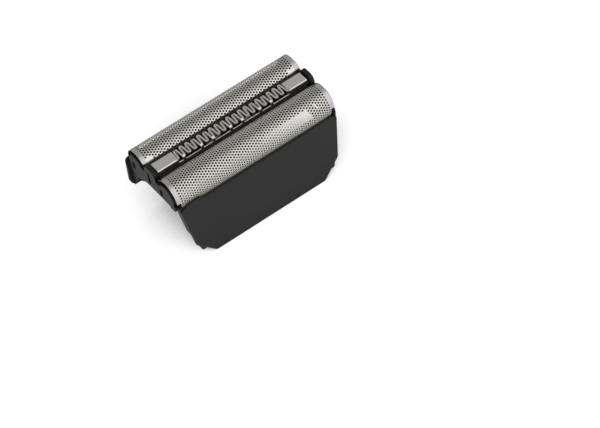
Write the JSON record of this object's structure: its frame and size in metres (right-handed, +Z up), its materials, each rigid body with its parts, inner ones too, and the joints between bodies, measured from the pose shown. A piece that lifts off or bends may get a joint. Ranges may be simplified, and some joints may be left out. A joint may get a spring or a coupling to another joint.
{
  "type": "shaver foil head",
  "caption": "Foil cassette of an electric shaver: arched perforated foils beside a serpentine long-hair trimmer, all floating on leaf springs in a black moulded frame with skirts.",
  "frame": {"origin": "middle of the skirts' lower edges, on the surface that the head stands on", "axes": "+X along the foils, -Y towards the front skirt, +Z up towards the foils"},
  "size_m": [0.0538, 0.025, 0.0277],
  "materials": {
    "frame_plastic": "satin black moulding",
    "carrier_plastic": "matt black moulding",
    "slider_plastic": "smooth low-friction moulding",
    "foil_metal": "bright electroformed sheet, perforated",
    "strip_plastic": "matt black moulding",
    "comb_steel": "ground and folded stainless sheet",
    "blade_steel": "ground stainless strip",
    "spring_steel": "cold-rolled spring strip"
  },
  "bodies": {
    "frame": {"cassette_frame": "frame_plastic", "spring_retainer_left": "carrier_plastic", "spring_retainer_right": "carrier_plastic", "front_foil_spring_left": "spring_steel", "front_foil_spring_right": "spring_steel", "rear_foil_spring_left": "spring_steel", "rear_foil_spring_right": "spring_steel", "trimmer_spring_left": "spring_steel", "trimmer_spring_right": "spring_steel"},
    "front_foil": {"front_foil": "foil_metal", "front_foil_carrier": "carrier_plastic", "front_foil_strip": "strip_plastic"},
    "rear_foil": {"rear_foil": "foil_metal", "rear_foil_carrier": "carrier_plastic", "rear_foil_strip": "strip_plastic"},
    "trimmer": {"trimmer_comb": "comb_steel", "trimmer_carrier": "carrier_plastic"},
    "blade": {"trimmer_blade": "blade_steel", "blade_slider": "slider_plastic", "blade_pressure_spring": "spring_steel"}
  },
  "joints": [
    {"name": "front_foil_float", "type": "slide", "parent": "frame", "child": "front_foil", "axis": [0, 0, 1], "range_m": [-0.0009, 0], "stiffness_N_per_m": 400, "springref_m": 0.0015, "deforming": ["front_foil_spring_left", "front_foil_spring_right"]},
    {"name": "rear_foil_float", "type": "slide", "parent": "frame", "child": "rear_foil", "axis": [0, 0, 1], "range_m": [-0.0009, 0], "stiffness_N_per_m": 400, "springref_m": 0.0015, "deforming": ["rear_foil_spring_left", "rear_foil_spring_right"]},
    {"name": "trimmer_float", "type": "slide", "parent": "frame", "child": "trimmer", "axis": [0, 0, 1], "range_m": [-0.0015, 0], "stiffness_N_per_m": 400, "springref_m": 0.0015, "deforming": ["trimmer_spring_left", "trimmer_spring_right"]},
    {"name": "blade_stroke", "type": "slide", "parent": "trimmer", "child": "blade", "axis": [1, 0, 0], "range_m": [-0.0012, 0.0012]}
  ]
}
